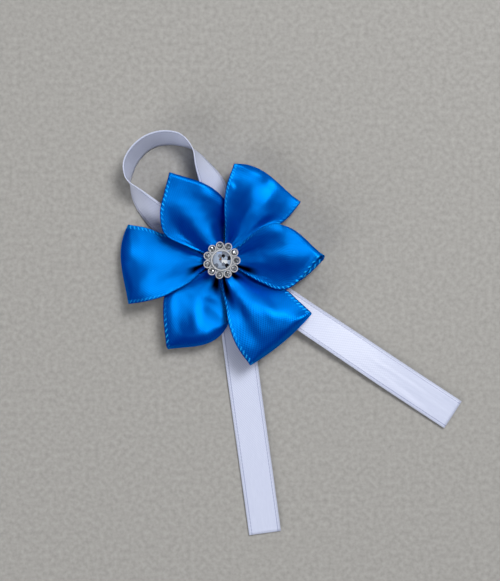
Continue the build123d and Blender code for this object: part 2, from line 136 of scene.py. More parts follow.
# %% Relief of the petals
# Heights of the front layer. Columns run across the petal from its near edge to its far one,
# rows from the base to the fold, at these shares of the half width and of the length.
RELIEF_ACROSS = (-1.0, -0.75, -0.5, -0.25, 0.0, 0.25, 0.5, 0.75, 1.0)
RELIEF_AT = (0.0, 0.1, 0.2, 0.31, 0.42, 0.53, 0.64, 0.75, 0.85, 0.93, 1.0)
RELIEF = {
    "petal_1": (
        (7.4, 7.5, 7.5, 7.5, 7.6, 7.6, 7.6, 7.6, 7.6),
        (6.7, 7.2, 7.6, 7.9, 8.1, 8.1, 7.8, 7.4, 7.1),
        (5.3, 6.6, 7.9, 8.4, 8.6, 8.4, 7.9, 7.4, 7.5),
        (4.9, 6.7, 8.2, 8.9, 9.0, 8.6, 8.0, 7.9, 8.3),
        (4.8, 6.7, 8.6, 9.4, 9.5, 8.9, 8.5, 8.9, 9.4),
        (4.8, 6.6, 8.6, 9.7, 10.2, 9.8, 9.3, 9.8, 10.5),
        (5.5, 7.0, 8.5, 9.8, 10.6, 10.9, 10.7, 10.7, 11.2),
        (6.2, 7.7, 9.0, 9.9, 10.7, 11.1, 11.3, 11.3, 11.3),
        (6.2, 8.3, 9.6, 10.4, 10.9, 11.1, 11.2, 11.2, 11.2),
        (6.2, 8.7, 10.0, 11.0, 11.4, 11.3, 11.2, 11.2, 11.1),
        (6.3, 8.8, 9.9, 10.9, 11.5, 11.4, 11.3, 11.3, 11.2),
    ),
    "petal_2": (
        (7.4, 7.5, 7.5, 7.5, 7.6, 7.6, 7.6, 7.6, 7.6),
        (6.2, 6.3, 6.4, 6.6, 6.8, 7.0, 7.3, 7.7, 8.0),
        (6.1, 6.2, 6.3, 6.5, 6.8, 7.3, 8.0, 8.5, 8.6),
        (6.0, 6.3, 6.5, 6.6, 7.0, 7.8, 8.8, 9.8, 10.4),
        (5.8, 6.3, 6.8, 6.9, 7.3, 8.3, 9.5, 10.7, 11.5),
        (5.8, 6.2, 7.0, 7.3, 7.7, 8.8, 9.9, 10.9, 11.8),
        (5.7, 5.8, 7.1, 7.7, 8.0, 9.2, 10.6, 11.6, 11.9),
        (4.6, 5.5, 7.0, 7.8, 8.1, 9.1, 10.7, 11.9, 11.8),
        (4.4, 5.3, 6.6, 7.8, 8.0, 8.6, 9.8, 10.6, 11.1),
        (4.4, 5.2, 6.4, 7.5, 7.7, 8.3, 9.1, 9.9, 10.9),
        (4.3, 4.9, 5.9, 6.8, 7.0, 8.2, 8.9, 9.9, 10.9),
    ),
    "petal_3": (
        (7.6, 7.6, 7.6, 7.6, 7.6, 7.6, 7.6, 7.6, 7.6),
        (7.4, 7.8, 8.1, 8.1, 8.0, 7.9, 8.0, 8.2, 8.2),
        (7.4, 7.8, 8.4, 8.5, 8.5, 8.5, 8.9, 9.2, 9.5),
        (8.1, 8.2, 8.8, 9.1, 9.0, 9.2, 9.8, 10.2, 10.5),
        (8.2, 8.5, 9.1, 9.7, 9.7, 9.8, 10.4, 11.0, 11.2),
        (8.2, 8.5, 9.1, 9.9, 10.3, 10.4, 10.9, 11.5, 11.7),
        (8.3, 8.6, 9.2, 10.1, 10.7, 10.8, 11.2, 11.8, 11.9),
        (8.7, 8.8, 9.4, 10.3, 11.0, 11.0, 11.4, 11.9, 11.9),
        (9.0, 9.2, 9.9, 10.7, 11.0, 11.1, 11.4, 11.8, 11.9),
        (9.3, 9.6, 10.2, 10.5, 10.7, 10.9, 11.2, 11.5, 11.8),
        (9.9, 9.6, 9.7, 9.9, 10.3, 10.6, 10.9, 11.3, 11.7),
    ),
    "petal_4": (
        (7.6, 7.6, 7.6, 7.6, 7.6, 7.5, 7.5, 7.5, 7.4),
        (7.9, 8.1, 8.1, 8.1, 8.1, 7.7, 7.0, 6.3, 5.5),
        (8.1, 8.7, 9.0, 8.8, 8.6, 7.9, 6.7, 5.6, 5.0),
        (8.1, 8.8, 9.5, 9.4, 9.1, 8.2, 6.7, 5.6, 6.0),
        (9.1, 9.3, 10.1, 10.3, 9.8, 8.8, 7.3, 6.0, 6.0),
        (10.6, 10.4, 10.6, 11.0, 10.6, 9.6, 8.1, 6.7, 6.1),
        (11.6, 11.3, 11.1, 11.6, 11.4, 10.6, 9.2, 8.1, 7.1),
        (11.9, 11.7, 11.6, 11.9, 11.9, 11.6, 10.2, 9.2, 8.2),
        (11.9, 11.8, 11.6, 11.9, 11.9, 11.9, 11.1, 10.1, 9.0),
        (11.5, 11.6, 11.4, 11.6, 11.7, 11.7, 11.6, 10.8, 9.7),
        (10.9, 10.8, 10.9, 11.0, 11.2, 11.7, 11.9, 11.8, 10.4),
    ),
    "petal_5": (
        (7.4, 7.5, 7.5, 7.5, 7.6, 7.5, 7.5, 7.5, 7.4),
        (7.0, 6.7, 6.3, 5.8, 5.4, 5.3, 5.4, 6.0, 6.7),
        (6.2, 6.1, 5.7, 5.3, 5.2, 5.2, 5.2, 5.7, 6.3),
        (5.5, 5.6, 5.4, 5.2, 5.3, 5.2, 5.3, 5.9, 6.1),
        (5.3, 5.3, 5.3, 5.4, 5.5, 5.3, 5.5, 5.9, 6.2),
        (5.2, 5.4, 5.6, 5.7, 5.7, 5.6, 5.9, 6.1, 6.3),
        (5.4, 6.0, 6.0, 5.9, 6.0, 5.8, 6.0, 6.3, 6.3),
        (6.2, 6.6, 6.3, 6.3, 6.4, 6.2, 6.5, 6.6, 6.4),
        (6.6, 6.9, 6.6, 6.7, 7.1, 6.8, 6.8, 6.9, 6.5),
        (6.5, 6.8, 6.7, 7.2, 7.8, 7.5, 7.2, 7.0, 6.7),
        (6.1, 6.5, 7.0, 7.6, 8.0, 8.1, 7.6, 7.2, 7.0),
    ),
    "petal_6": (
        (7.4, 7.5, 7.5, 7.5, 7.6, 7.6, 7.6, 7.6, 7.6),
        (6.0, 5.8, 5.8, 5.9, 6.1, 6.3, 6.9, 7.5, 8.1),
        (6.1, 5.8, 5.5, 5.7, 5.9, 6.2, 6.7, 7.3, 7.5),
        (6.2, 6.2, 5.6, 5.5, 5.8, 6.3, 7.0, 7.5, 7.6),
        (6.1, 5.9, 5.4, 5.4, 5.7, 6.4, 7.2, 7.7, 8.0),
        (5.8, 5.6, 5.3, 5.4, 5.8, 6.5, 7.4, 8.0, 8.4),
        (5.5, 5.4, 5.3, 5.5, 6.0, 6.8, 7.7, 8.3, 8.9),
        (5.4, 5.3, 5.3, 5.6, 6.2, 7.1, 7.9, 8.6, 9.1),
        (5.4, 5.3, 5.3, 5.6, 6.3, 7.3, 8.1, 8.8, 8.9),
        (5.5, 5.4, 5.4, 5.7, 6.2, 7.1, 8.1, 8.6, 8.4),
        (5.7, 5.3, 5.4, 5.8, 5.8, 6.7, 7.7, 8.0, 8.0),
    ),
}
print("heights mm", min(min(map(min, rows)) for rows in RELIEF.values()), "to",
      max(max(map(max, rows)) for rows in RELIEF.values()))

# %% [markdown]
# The outer folds differ: some are pressed nearly sharp, others roll over in a wide curve. At the
# base the cloth is gathered, and between the gathers are pockets where hardly any light gets;
# that shade is painted into the colour. A few measures for each petal let one function make all
# six.

# %% Folds of the petals, and painted shade in the pockets of their gathers
# How far the outer fold bows out past the line between its corners, and how far that bow
# leans to the far side.
#  bow, lean
FOLD_BOW = {
    "petal_1": (2.6, -0.5),
    "petal_2": (2.1, 0.9),
    "petal_3": (0.7, 1.2),
    "petal_4": (1.0, 0.0),
    "petal_5": (2.9, 0.6),
    "petal_6": (2.1, -0.6),
}
# How far the outer fold rounds over: at its far corner, in the middle and at its near corner
FOLD_ROLL = {
    "petal_1": (0.4, 0.6, 0.4),
    "petal_2": (0.4, 1.9, 0.5),
    "petal_3": (0.25, 0.5, 0.8),
    "petal_4": (0.5, 2.4, 0.6),
    "petal_5": (0.7, 3.0, 0.9),
    "petal_6": (0.7, 3.0, 0.7),
}
# Share of the half width by which the back layer shows past the near edge of the front one
BACK_SHOWS = {
    "petal_1": 0.0,
    "petal_2": 0.0,
    "petal_3": 0.22,
    "petal_4": 0.0,
    "petal_5": 0.0,
    "petal_6": 0.0,
}
# Painted shade in dark pockets between the gathers at the base: place across, half its width, how
# far out
PAINTED_POCKETS = {
    "petal_1": (),
    "petal_2": (),
    "petal_3": ((-0.68, 0.22, 0.45),),
    "petal_4": ((-0.72, 0.22, 0.5), (0.2, 0.35, 0.34)),
    "petal_5": ((0.55, 0.4, 0.42),),
    "petal_6": ((0.42, 0.32, 0.38),),
}
print("widest fold mm", max(max(roll) for roll in FOLD_ROLL.values()),
      "pocket_shades", sum(map(len, PAINTED_POCKETS.values())))

# %% [markdown]
# The white ribbon is one piece. It lies flat as a tail, passes under the flower, turns up on its
# edge for the hanging loop, and comes back under the flower to end as the second tail. A curve
# object with a bevel could follow it, but its turn on edge is easier to set in a table.

# %% Course of the white ribbon
# Narrow ribbon, a row for each section from the end of one tail, under the flower, round the
# hanging loop, under the flower again and out to the end of the other tail. Lean turns it
# about its middle line: 0 lies flat, 90 stands on edge, above 0 the left edge is the high one.
#  x, y, lean, lift
NARROW = (
    (13.3, -84.9, 0, 0.0),
    (10.2, -62.5, 0, 0.0),
    (7.3, -41.9, 0, 0.0),
    (4.4, -20.3, 0, 0.55),
    (2.7, -9.1, 0, 1.45),
    (1.5, -0.6, 0, 1.55),
    (0.6, 6.6, 1, 1.45),
    (-0.6, 14.4, 13, 0.60),
    (-1.9, 19.1, 26, 0.05),
    (-3.0, 23.7, 40, 0.0),
    (-5.8, 29.2, 62, 0.0),
    (-8.6, 34.2, 86, 0.0),
    (-12.9, 37.2, 105, 0.0),
    (-17.0, 37.9, 109, 0.0),
    (-21.3, 37.2, 109, 0.0),
    (-24.7, 35.2, 109, 0.0),
    (-27.0, 32.7, 109, 0.0),
    (-28.5, 30.0, 107, 0.0),
    (-29.0, 27.2, 101, 0.0),
    (-28.8, 24.4, 90, 0.0),
    (-25.8, 19.6, 62, 0.0),
    (-20.6, 14.1, 40, 0.0),
    (-16.4, 10.9, 26, 0.50),
    (-11.4, 7.5, 11, 1.90),
    (-6.1, 3.9, 2, 2.80),
    (0.0, -0.3, 0, 2.85),
    (6.4, -4.5, -3, 2.60),
    (12.3, -8.4, -9, 1.50),
    (18.3, -12.4, -16, 0.50),
    (27.3, -18.4, -18, 0.0),
    (38.3, -25.7, -12, 0.0),
    (52.3, -35.1, -6, 0.0),
    (71.9, -48.0, -1, 0.0),
)
print("white ribbon sections", len(NARROW))

# %% [markdown]
# Two small functions carry all shapes: a curve through a column of a table, and a soft step.
# A NURBS curve passes beside its points, and a Bezier one needs handles for each of them. This
# one runs through every value as it stands.

# %% Curves through the tables
def curve_through(keys, values, at):
    """Smooth value at a place between the keys, passing through every given value."""
    last = len(keys) - 1
    at = min(max(at, keys[0]), keys[last])
    i = next(k for k in range(last) if at <= keys[k + 1])
    slopes = []
    for k in (i, i + 1):
        lo, hi = max(k - 1, 0), min(k + 1, last)
        slopes.append((values[hi] - values[lo]) / (keys[hi] - keys[lo]))
    span = keys[i + 1] - keys[i]
    t = (at - keys[i]) / span
    return ((1 + 2 * t) * (1 - t) ** 2 * values[i] + t * (1 - t) ** 2 * span * slopes[0]
            + t * t * (3 - 2 * t) * values[i + 1] - t * t * (1 - t) * span * slopes[1])


def ease(low, high, at):
    """0 before low, 1 after high, and smooth between them."""
    t = min(max((at - low) / (high - low), 0.0), 1.0)
    return t * t * (3 - 2 * t)


print("soft step in quarters", [round(ease(0, 4, k), 2) for k in range(5)])

# %% [markdown]
# Now the petal itself. One function reads its table, one gives the points of a section across
# it, and one strings the sections together over the front, round the fold and back.

# %% Sections of a petal
BACK_INSET = 0.07        # how much narrower the back layer is, as a share
BACK_ARCH = 1.2          # power by which the back layer arches from its middle to its sides
BACK_SOFT = 0.02         # rounds that arch at its middle
CORNER_FROM = 0.45       # share of the half width where a fold's pressed corner starts
BOW_POWER, ROLL_POWER = 4, 3   # how late along the petal its fold's bow and roll set in


def petal_sections(name):
    """The petal's table as columns, its edges turned from radius and angle to x and y."""
    rows = PETALS[name]
    polar = lambda r, deg: (r * math.cos(math.radians(deg)), r * math.sin(math.radians(deg)))
    far = [polar(row[1], row[2]) for row in rows]
    near = [polar(row[3], row[4]) for row in rows]
    return {
        "at": [row[0] for row in rows],
        "far_x": [p[0] for p in far], "far_y": [p[1] for p in far],
        "near_x": [p[0] for p in near], "near_y": [p[1] for p in near],
        "low": list(zip(*[row[5:8] for row in rows])),
        "top": list(zip(*RELIEF[name])),
    }


def fold_out(sections):
    """Level direction in which the outer fold faces."""
    dx = sections["far_x"][-1] - sections["near_x"][-1]
    dy = sections["far_y"][-1] - sections["near_y"][-1]
    size = math.hypot(dx, dy)
    return dy / size, -dx / size


def fold_roll(name, place):
    """How far the outer fold rounds over, which is less where its corners are pressed flat."""
    far, middle, near = FOLD_ROLL[name]
    side = far if place > 0 else near
    return middle + (side - middle) * ease(CORNER_FROM, 1.0, abs(place))


def petal_row(name, sections, at, across, layer):
    """Points across the front layer (top) or the back layer (low) at one section."""
    s = sections
    edge = [curve_through(s["at"], s[key], at) for key in ("far_x", "far_y", "near_x", "near_y")]
    bow, lean = FOLD_BOW[name]
    out = fold_out(s)
    if layer == "top":
        heights = [curve_through(RELIEF_AT, column, at) for column in s["top"]]
    else:
        far, mid, near = (curve_through(s["at"], column, at) for column in s["low"])
    row = []
    for place in across:
        width = place
        if layer == "low":
            width *= 1 - BACK_INSET * ease(0.0, 0.3, 1 - at)
            if place < 0:
                width *= 1 + BACK_SHOWS[name] * ease(0.8, 1.0, at)
        bulge = bow * (1 - width ** 2) * (1 + lean * width) * at ** BOW_POWER
        push = bulge - fold_roll(name, place) * at ** ROLL_POWER
        x = edge[2] + (edge[0] - edge[2]) * (1 + width) / 2 + out[0] * push
        y = edge[3] + (edge[1] - edge[3]) * (1 + width) / 2 + out[1] * push
        if layer == "top":
            z = curve_through(RELIEF_ACROSS, heights, place)
        else:
            side = far if place > 0 else near
            arch = ((place ** 2 + BACK_SOFT) / (1 + BACK_SOFT)) ** (BACK_ARCH / 2)
            z = mid + (side - mid) * arch
        row.append((x, y, z))
    return row


halfway = petal_row("petal_1", petal_sections("petal_1"), 0.5, (-1.0, 0.0, 1.0), "top")
print("petal_1 halfway out, mm", [[round(v, 1) for v in point] for point in halfway])

# %% [markdown]
# At its outer end the strip turns back under itself. A half circle would look like a tube, so
# the turn starts with the pressed edge that a finger leaves.

# %% Front, fold and back of a petal
PRESSED = 0.7            # below 1, the outer fold starts with a pressed edge


def petal_grid(name, along, rolled, across):
    """Rows of points over the front layer, round the fold and back under it."""
    sections = petal_sections(name)
    out = fold_out(sections)
    front = [petal_row(name, sections, at, across, "top") for at in along]
    back = [petal_row(name, sections, at, across, "low") for at in along]
    fold = []
    for turn in rolled:
        row = []
        for place, (x, y, z), (bx, by, bz) in zip(across, front[-1], back[-1]):
            swing = math.sin(math.radians(turn)) * fold_roll(name, place)
            drop = ((1 - math.cos(math.radians(turn))) / 2) ** PRESSED
            row.append((x + (bx - x) * drop + out[0] * swing,
                        y + (by - y) * drop + out[1] * swing,
                        z + (bz - z) * drop))
        fold.append(row)
    return front + fold + back[::-1]


def painted_pocket_rows(name, along, rolled, across):
    """How deep in a pocket of the gathers each point of the petal's grid lies, 0 to 1: the weight
    of its painted shade.
    """
    def deep(at, place):
        shades = [ease(half, half * 0.3, abs(place - middle)) * ease(reach, reach * 0.6, at)
                  for middle, half, reach in PAINTED_POCKETS[name]]
        return max(shades, default=0.0)

    front = [[deep(at, place) for place in across] for at in along]
    return front + [[0.0] * len(across)] * (len(rolled) + len(along))


fold_edge = petal_grid("petal_1", (0.0, 1.0), (90.0,), (0.0,))[2][0]
print("petal_1 middle of the fold, mm", [round(v, 1) for v in fold_edge])

# %% [markdown]
# The white ribbon is simpler. Each section is three points: its left edge, middle and right
# edge. The lean is kept apart from the course, because it turns through more than a right angle.

# %% Sections of the white ribbon
LOOK = 0.5               # millimetres ahead and behind that tell which way the ribbon runs


def narrow_grid(stations):
    """Rows of three points across the narrow ribbon: left edge, middle and right edge."""
    keys = [0.0]
    for (ax, ay, _, _), (bx, by, _, _) in zip(NARROW, NARROW[1:]):
        keys.append(keys[-1] + math.hypot(bx - ax, by - ay))
    columns = list(zip(*NARROW))
    rows = []
    for k in range(stations):
        at = keys[-1] * k / (stations - 1)
        x, y, lean, lift = (curve_through(keys, column, at) for column in columns)
        ahead = [curve_through(keys, column, at + LOOK) for column in columns[:2]]
        behind = [curve_through(keys, column, at - LOOK) for column in columns[:2]]
        dx, dy = ahead[0] - behind[0], ahead[1] - behind[1]
        size = math.hypot(dx, dy)
        turn = math.radians(lean)
        level, rise = math.cos(turn), math.sin(turn)
        side = (-dy / size * level, dx / size * level, rise)
        half = NARROW_WIDTH / 2
        z = half * abs(rise) + WALL / 2 * abs(level) + lift
        rows.append([(x + side[0] * w, y + side[1] * w, z + side[2] * w)
                     for w in (half, 0, -half)])
    return rows


print("end of the first tail, mm", [[round(v, 1) for v in point] for point in narrow_grid(2)[0]])

# %% [markdown]
# A ribbon is easiest as a flat grid that is carried to its place: the grid's columns run across
# the ribbon and its rows along it. The UV map keeps the flat ribbon, so that weave and selvedge
# follow the cloth round every fold. A Solidify modifier then gives the cloth its thickness.

# %% Lay a grid along rows of points
def ribbon_mesh(name, rows, pocket_shades=None):
    """A grid carried to the rows of points, with its flat place as the UV map."""
    count, across = len(rows), len(rows[0])
    middle = across // 2
    run = [0.0]
    for a, b in zip(rows, rows[1:]):
        run.append(run[-1] + (Vector(b[middle]) - Vector(a[middle])).length)
    bm = bmesh.new()
    flat = bm.loops.layers.uv.new("flat_ribbon")
    # This layer carries painted shade for the dark pockets between the gathers; the mesh keeps
    # its shape there.
    pocket_shade = bm.verts.layers.float.new("pocket_shade")
    bmesh.ops.create_grid(bm, x_segments=across - 1, y_segments=count - 1, size=1.0)
    place = {}
    for v in bm.verts:
        i = round((v.co.y + 1) / 2 * (count - 1))
        j = round((v.co.x + 1) / 2 * (across - 1))
        place[v] = (j / (across - 1), run[i] / run[-1])
        v.co = Vector(rows[i][j]) * MM
        v[pocket_shade] = pocket_shades[i][j] if pocket_shades else 0.0
    for face in bm.faces:
        for loop in face.loops:
            loop[flat].uv = place[loop.vert]
        face.smooth = True
    mesh = bpy.data.meshes.new(name)
    bm.to_mesh(mesh)
    bm.free()
    piece = bpy.data.objects.new(name, mesh)
    bpy.context.scene.collection.objects.link(piece)
    print(name, "faces", len(mesh.polygons), "length mm", round(run[-1], 1),
          "area mm2", round(sum(face.area for face in mesh.polygons) / MM ** 2))
    return piece, run[-1]


def give_thickness(piece, thickness, offset):
    """Thickness in millimetres, to one side (-1) of the grid or to both (0)."""
    wall = piece.modifiers.new("cloth", "SOLIDIFY")
    wall.thickness = thickness * MM
    wall.offset = offset

# %% [markdown]
# Each new ribbon replaces the solid of its petal. Its strip ends are taken as cut to a taper,
# because the gathered base holds less cloth than a full width.
# Six separate meshes, not one flower, let each petal be handled and coloured on its own.

# %% Petals
ROWS_ALONG, ROWS_ROUND, COLUMNS = 61, 11, 57
along = [k / (ROWS_ALONG - 1) for k in range(ROWS_ALONG)]
rolled = [180 * k / (ROWS_ROUND + 1) for k in range(1, ROWS_ROUND + 1)]
across = [2 * k / (COLUMNS - 1) - 1 for k in range(COLUMNS)]
ribbons = {}
for name in PETALS:
    rows = petal_grid(name, along, rolled, across)
    piece, length = ribbon_mesh(name + "_ribbon", rows, painted_pocket_rows(name, along, rolled, across))
    give_thickness(piece, CLOTH, -1)
    ribbons[name] = piece
    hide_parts(name)
    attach(piece, "root")

# %% [markdown]
# The white ribbon keeps its full width from end to end, so its flat size says all about it.

# %% White ribbon
STATIONS, STRIPS = 280, 10
THIN = 0.8               # the white ribbon's thickness, as a share of the blue one's
rows = []
for left, _, right in narrow_grid(STATIONS):
    left, right = Vector(left), Vector(right)
    rows.append([tuple(left.lerp(right, k / STRIPS)) for k in range(STRIPS + 1)])
piece, length = ribbon_mesh("white_ribbon", rows)
give_thickness(piece, CLOTH * THIN, 0)
ribbons["narrow_ribbon"] = piece
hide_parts("narrow_ribbon")
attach(piece, "root")

# %% [markdown]
# Every finish below is a small network of nodes. It could be drawn by hand in the shader editor.
# In a script, a few short helpers keep it readable: one plugs a value or a link into a socket,
# and the others are sums, soft steps, blends, two noises, a bump, a new finish and a new group.

# %% Helpers for the finishes
TURN = 2 * math.pi


def plug(tree, socket, value):
    """Links another node's output to the socket, or sets a plain value on it."""
    if isinstance(value, bpy.types.NodeSocket):
        tree.links.new(value, socket)
    else:
        socket.default_value = value


def calc(tree, what, a, b=0.0, clamp=False):
    """One sum of Blender's Math node, such as DIVIDE or SINE."""
    node = tree.nodes.new("ShaderNodeMath")
    node.operation = what
    node.use_clamp = clamp
    plug(tree, node.inputs[0], a)
    plug(tree, node.inputs[1], b)
    return node.outputs[0]


def sums(tree):
    """Short names for the commonest sums of one tree: plus, minus and times."""
    return [lambda a, b, what=what: calc(tree, what, a, b)
            for what in ("ADD", "SUBTRACT", "MULTIPLY")]


def soft_step(tree, value, low, high):
    """0 at low, 1 at high, eased between them. It falls instead where low is the larger."""
    node = tree.nodes.new("ShaderNodeMapRange")
    node.interpolation_type = "SMOOTHSTEP"
    plug(tree, node.inputs["Value"], value)
    node.inputs["From Min"].default_value = low
    node.inputs["From Max"].default_value = high
    return node.outputs["Result"]


def blend(tree, factor, under, over):
    """Mixes two colours, each a link or three numbers."""
    node = tree.nodes.new("ShaderNodeMix")
    node.data_type = "RGBA"
    plug(tree, node.inputs["Factor"], factor)
    for label, colour in (("A", under), ("B", over)):
        linked = isinstance(colour, bpy.types.NodeSocket)
        plug(tree, node.inputs[label], colour if linked else (*colour, 1))
    return node.outputs["Result"]


def mottle(tree, across, along, detail):
    """Noise over the flat ribbon, stretched by giving it unequal sizes."""
    place = tree.nodes.new("ShaderNodeCombineXYZ")
    plug(tree, place.inputs[0], across)
    plug(tree, place.inputs[1], along)
    noise = tree.nodes.new("ShaderNodeTexNoise")
    noise.inputs["Scale"].default_value = 1.0
    noise.inputs["Detail"].default_value = detail
    tree.links.new(place.outputs[0], noise.inputs["Vector"])
    return noise.outputs["Fac"]


def grain(tree, per_metre, detail=2.0):
    """Noise through the object itself, with about so many spots to the metre."""
    place = tree.nodes.new("ShaderNodeTexCoord")
    noise = tree.nodes.new("ShaderNodeTexNoise")
    noise.inputs["Scale"].default_value = per_metre
    noise.inputs["Detail"].default_value = detail
    tree.links.new(place.outputs["Object"], noise.inputs["Vector"])
    return noise.outputs["Fac"]


def raise_by(tree, shader, height):
    """Bumps the surface by a height in millimetres."""
    bump = tree.nodes.new("ShaderNodeBump")
    bump.inputs["Distance"].default_value = MM
    tree.links.new(height, bump.inputs["Height"])
    tree.links.new(bump.outputs["Normal"], shader.inputs["Normal"])


def new_finish(name, rough, metallic=0.0, colour=(0.5, 0.5, 0.5)):
    """A material, with its node tree and its Principled shader."""
    material = bpy.data.materials.new(name)
    material.use_nodes = True
    shader = material.node_tree.nodes["Principled BSDF"]
    shader.inputs["Base Color"].default_value = (*colour, 1)
    shader.inputs["Roughness"].default_value = rough
    shader.inputs["Metallic"].default_value = metallic
    return material, material.node_tree, shader


def new_group(name, inputs, outputs):
    """A node group with numbers going in, each with its usual value, and its two end nodes."""
    group = bpy.data.node_groups.new(name, "ShaderNodeTree")
    for label, value in inputs.items():
        socket = group.interface.new_socket(label, in_out="INPUT", socket_type="NodeSocketFloat")
        socket.default_value = value
    for label, kind in outputs.items():
        group.interface.new_socket(label, in_out="OUTPUT", socket_type=kind)
    return group, group.nodes.new("NodeGroupInput"), group.nodes.new("NodeGroupOutput")

# %% [markdown]
# Both ribbons are woven alike: shiny threads that run along them, a faint slanting twill, and a
# firm selvedge with a row of slanting stitches along either edge, clearer in some places than in
# others, their light colour a painted highlight. An image of cloth could give all that. A node
# group that draws it from the flat map stays sharp at any distance, and both satins share it. It
# also knows where the strip's ends are gathered under the button: cloth creases there, and the
# near-black shade between petals is painted in.

# %% Weave, selvedge and the painted shade of the gathers, for a ribbon
TWILL = 0.7              # millimetres from one line of the twill to the next
STITCH = 1.15            # millimetres from one stitch of the selvedge to the next
STITCH_IN = 0.7          # how far in from the edge the row of stitches lies
STITCH_HALF = 0.65       # half the length of a stitch


def weave_group():
    """Takes the ribbon's flat size in millimetres, and gives its height and its masks, among them
    painted shade.
    """
    group, take, give = new_group(
        "ribbon_weave",
        {"Width": 25.0, "Length": 60.0, "Stitching": 1.0, "Border in": 1.5},
        dict.fromkeys(("Height", "Glinting stitch", "Border", "Thread", "Painted shade"), "NodeSocketFloat"))
    plus, minus, times = sums(group)
    flat = group.nodes.new("ShaderNodeUVMap")
    flat.uv_map = "flat_ribbon"
    split = group.nodes.new("ShaderNodeSeparateXYZ")
    group.links.new(flat.outputs[0], split.inputs[0])
    u, v = split.outputs["X"], split.outputs["Y"]
    x, y = times(u, take.outputs["Width"]), times(v, take.outputs["Length"])
    edge = calc(group, "MINIMUM", x, minus(take.outputs["Width"], x))
    end = calc(group, "MINIMUM", v, minus(1.0, v))
    loose = soft_step(group, end, 0.02, 0.2)

    # Threads: streaks along the ribbon, and two sets of slanting lines that cross
    streak = mottle(group, times(x, 5.0), times(y, 0.35), 3.0)
    slant = times(y, 0.8)
    rise = calc(group, "SINE", times(plus(x, slant), TURN / TWILL))
    fall = calc(group, "SINE", times(minus(x, slant), TURN / TWILL))
    twill = plus(times(rise, 0.8), times(fall, 0.45))
    thread = plus(streak, times(times(twill, loose), 0.8))

    # Selvedge: slanting stitches, some fainter at random, with a painted highlight, and a woven
    # line
    beat = calc(group, "SINE", times(plus(y, times(edge, 0.5)), TURN / STITCH))
    off_row = calc(group, "DIVIDE", calc(group, "ABSOLUTE", minus(edge, STITCH_IN)), STITCH_HALF)
    in_row = calc(group, "SUBTRACT", 1.0, off_row, clamp=True)
    glinting_stitch = times(soft_step(group, in_row, 0.0, 0.5), soft_step(group, beat, 0.1, 0.9))
    patchy = soft_step(group, grain(group, 70.0, 1.0), 0.38, 0.58)
    glinting_stitch = times(glinting_stitch, times(plus(times(patchy, 0.75), 0.25), take.outputs["Stitching"]))
    off_border = calc(group, "ABSOLUTE", minus(edge, take.outputs["Border in"]))
    border = soft_step(group, off_border, 0.2, 0.05)

    # Height in millimetres: the weave, creases in the gathers, and the raised stitches
    crease = mottle(group, times(x, 0.4), times(y, 0.05), 1.0)
    woven = times(plus(times(streak, 0.02), times(times(twill, streak), 0.032)), loose)
    creased = times(crease, times(minus(1.0, loose), 0.3))
    height = plus(plus(woven, creased), times(glinting_stitch, 0.07))

    # Painted shade: the sides of the gathered ends, and the pockets that the petal's mesh marks
    off_middle = calc(group, "ABSOLUTE", minus(times(u, 2.0), 1.0))
    sides = soft_step(group, off_middle, 0.45, 0.95)
    pocket_shade = group.nodes.new("ShaderNodeAttribute")
    pocket_shade.attribute_name = "pocket_shade"
    gather_shade = times(sides, soft_step(group, end, 0.07, 0.02))
    gather_shade = calc(group, "MAXIMUM", gather_shade, pocket_shade.outputs["Fac"])
    for label, value in (("Height", height), ("Glinting stitch", glinting_stitch), ("Border", border),
                         ("Thread", thread), ("Painted shade", gather_shade)):
        group.links.new(value, give.inputs[label])
    return group


weave = weave_group()
print("ribbon_weave nodes", len(weave.nodes))

# %% [markdown]
# Dyed satin looks dark and pure blue where it doesn't mirror the light and turns cyan where it
# does. Metal has one colour for both, and so has no deep blue under its gloss. Here the body
# colour is a deep blue, and the tinted gloss on top of it is nearly as strong as a metal's: an
# index of refraction of 6 is the shader's way to ask for that. The white ribbon is the same
# cloth undyed, with a plain gloss.

# %% Satins
def satin(name, size, colours, rough, stitching, border_in):
    """A ribbon's finish. Its size is the strip's flat one, to keep the weave to scale."""
    material, tree, shader = new_finish(name, rough)
    cloth = tree.nodes.new("ShaderNodeGroup")
    cloth.node_tree = weave
    for label, value in (("Width", size[0]), ("Length", size[1]),
                         ("Stitching", stitching), ("Border in", border_in)):
        cloth.inputs[label].default_value = value
    colour = blend(tree, cloth.outputs["Thread"], colours["body"], colours["streak"])
    colour = blend(tree, cloth.outputs["Border"], colour, colours["border"])
    # Painted highlight: the selvedge stitches get a light colour, as where their threads catch
    # the light.
    colour = blend(tree, cloth.outputs["Glinting stitch"], colour, colours["glinting_stitch"])
    # Painted shade: in the gathers the colour turns near black and the finish metal, so neither
    # body nor gloss shows.
    if "gather_shade" in colours:
        colour = blend(tree, cloth.outputs["Painted shade"], colour, colours["gather_shade"])
        tree.links.new(cloth.outputs["Painted shade"], shader.inputs["Metallic"])
    tree.links.new(colour, shader.inputs["Base Color"])
    raise_by(tree, shader, cloth.outputs["Height"])
    run = tree.nodes.new("ShaderNodeTangent")
    run.direction_type = "UV_MAP"
    run.uv_map = "flat_ribbon"
    tree.links.new(run.outputs[0], shader.inputs["Tangent"])
    shader.inputs["Anisotropic"].default_value = 0.3
    shader.inputs["Anisotropic Rotation"].default_value = 0.25
    return material, shader


